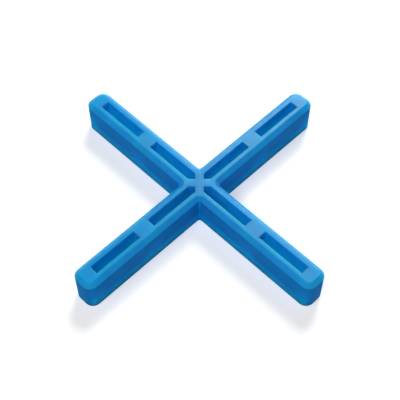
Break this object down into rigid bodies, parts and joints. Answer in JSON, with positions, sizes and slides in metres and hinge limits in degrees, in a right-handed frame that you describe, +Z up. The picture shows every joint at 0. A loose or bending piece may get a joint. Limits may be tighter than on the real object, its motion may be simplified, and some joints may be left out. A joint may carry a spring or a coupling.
{
  "type": "tile spacer",
  "caption": "Cross-shaped moulded plastic spacer that keeps an even joint between tiles, with a bevelled top edge and cored arms.",
  "frame": {"origin": "middle of the cross, on the flat underside", "axes": "+Z up from the underside to the bevelled top; +X and +Y along two neighbouring arms"},
  "size_m": [0.0592, 0.0592, 0.0072],
  "materials": {
    "spacer_plastic": "satin as moulded, clear mid blue"
  },
  "bodies": {
    "root": {"cross_spacer": "spacer_plastic"}
  },
  "joints": []
}
